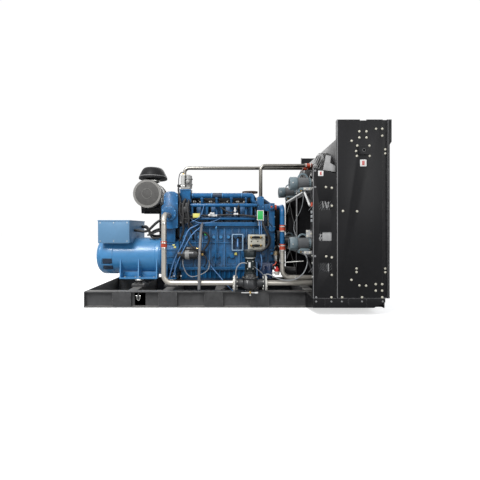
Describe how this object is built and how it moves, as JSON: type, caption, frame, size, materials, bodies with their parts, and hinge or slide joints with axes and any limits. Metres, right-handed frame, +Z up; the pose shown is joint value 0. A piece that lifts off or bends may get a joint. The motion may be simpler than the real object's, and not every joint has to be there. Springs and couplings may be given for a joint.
{
  "type": "gas engine generator set",
  "caption": "Gas engine generator set: alternator, inline engine and electrically fanned radiator on a steel skid, with stainless coolant pipes and a circulation pump.",
  "frame": {"origin": "centre of the footprint on the floor", "axes": "+Z up, +X along the shaft from the alternator to the radiator, -Y the side that the picture shows"},
  "size_m": [3.454, 1.892, 2.085],
  "materials": {
    "black_paint": "satin black enamel on sheet and plate steel",
    "black_wire": "black coated wire",
    "rubber": "matt black rubber",
    "blue_paint": "gloss mid blue engine enamel",
    "light_blue_paint": "satin light blue enamel",
    "rusty_iron": "heat browned cast iron",
    "black_iron": "black painted cast iron",
    "navy_paint": "gloss dark blue paint",
    "cream_paint": "cream powder coat",
    "grey_plastic": "blue grey moulded cowl",
    "black_plastic": "matt black moulded plastic",
    "cast_aluminium": "machined and cast aluminium",
    "stainless": "brushed stainless tube",
    "red_silicone": "orange red silicone hose",
    "fin_aluminium": "dark finned radiator core",
    "galvanised": "bright galvanised steel"
  },
  "bodies": {
    "root": {"skid_rail_near": "black_paint", "skid_rail_far": "black_paint", "skid_cross_members": "black_paint", "outriggers_near": "black_paint", "outriggers_far": "black_paint", "vibration_mounts": "rubber", "alternator_frame": "blue_paint", "alternator_end_cover": "blue_paint", "alternator_adapter": "blue_paint", "terminal_box": "light_blue_paint", "cable_loom": "rubber", "flywheel_housing": "blue_paint", "engine_block": "blue_paint", "oil_pan": "blue_paint", "cylinder_heads": "blue_paint", "intake_manifold": "blue_paint", "fluid_rails": "blue_paint", "exhaust_manifold": "rusty_iron", "gear_cover": "blue_paint", "crank_pulley": "black_iron", "starter_motor": "black_iron", "oil_filters": "navy_paint", "ignition_unit": "cream_paint", "air_cleaner": "grey_plastic", "air_cleaner_bracket": "black_paint", "rain_cap": "black_plastic", "mixer_housing": "blue_paint", "gas_valve": "cast_aluminium", "coolant_pipe_left": "stainless", "coolant_pipe_right": "stainless", "coolant_riser": "stainless", "vent_pipes": "stainless", "hose_couplings": "red_silicone", "breather_hose": "rubber", "pump_body": "black_iron", "pump_motor": "black_iron", "radiator_core": "fin_aluminium", "radiator_side_near": "black_paint", "radiator_side_far": "black_paint", "core_guard": "black_paint", "fan_plate": "black_paint", "fan_guards": "black_wire", "fan_impellers": "cast_aluminium", "fan_motors": "grey_plastic", "motor_brackets": "galvanised", "fan_box_near": "black_paint", "fan_box_far": "black_paint"}
  },
  "joints": []
}
